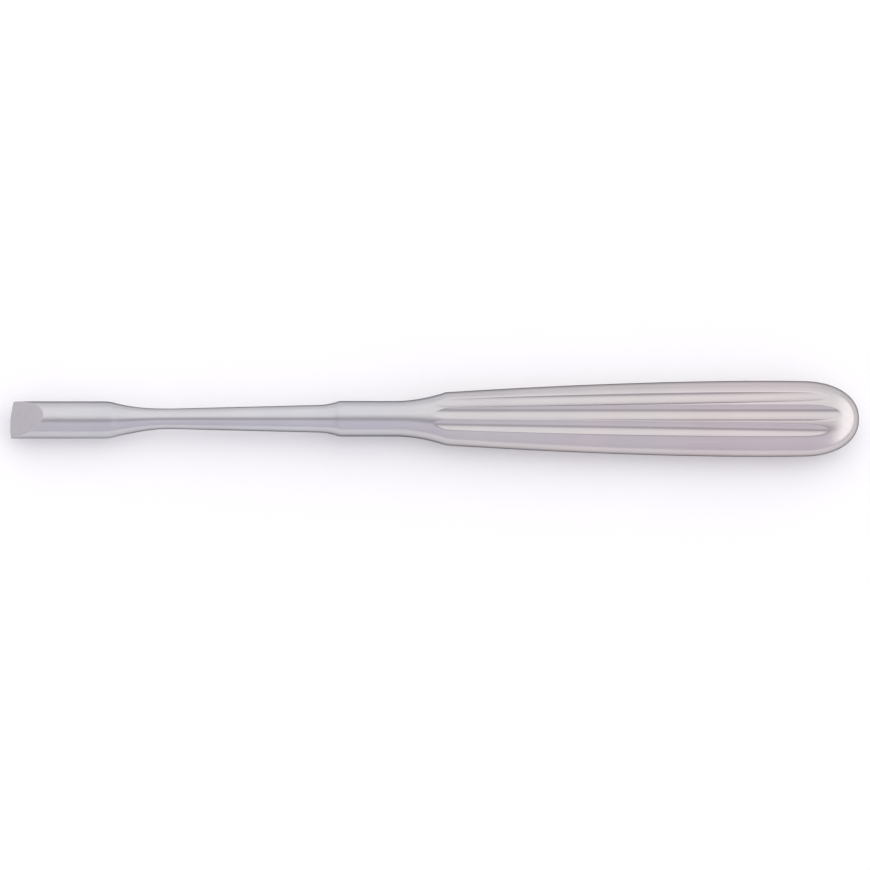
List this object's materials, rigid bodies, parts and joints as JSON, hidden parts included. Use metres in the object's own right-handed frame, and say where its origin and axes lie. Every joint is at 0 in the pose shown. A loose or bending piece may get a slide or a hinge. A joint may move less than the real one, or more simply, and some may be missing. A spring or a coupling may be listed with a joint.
{
  "type": "dental elevator",
  "caption": "Straight surgical hand elevator with a flat-oval fluted handle, round tapered shank and half-round bevelled chisel blade.",
  "frame": {"origin": "centre of the overall length and width, at the level of the handle's lowest ribs", "axes": "+X along the instrument from the cutting edge to the butt of the handle, +Y across the wide face, +Z out of the wide face on the bevel side"},
  "size_m": [0.19, 0.0176, 0.0098],
  "materials": {
    "steel": "satin ground and lightly polished stainless steel"
  },
  "bodies": {
    "root": {"elevator": "steel"}
  },
  "joints": []
}
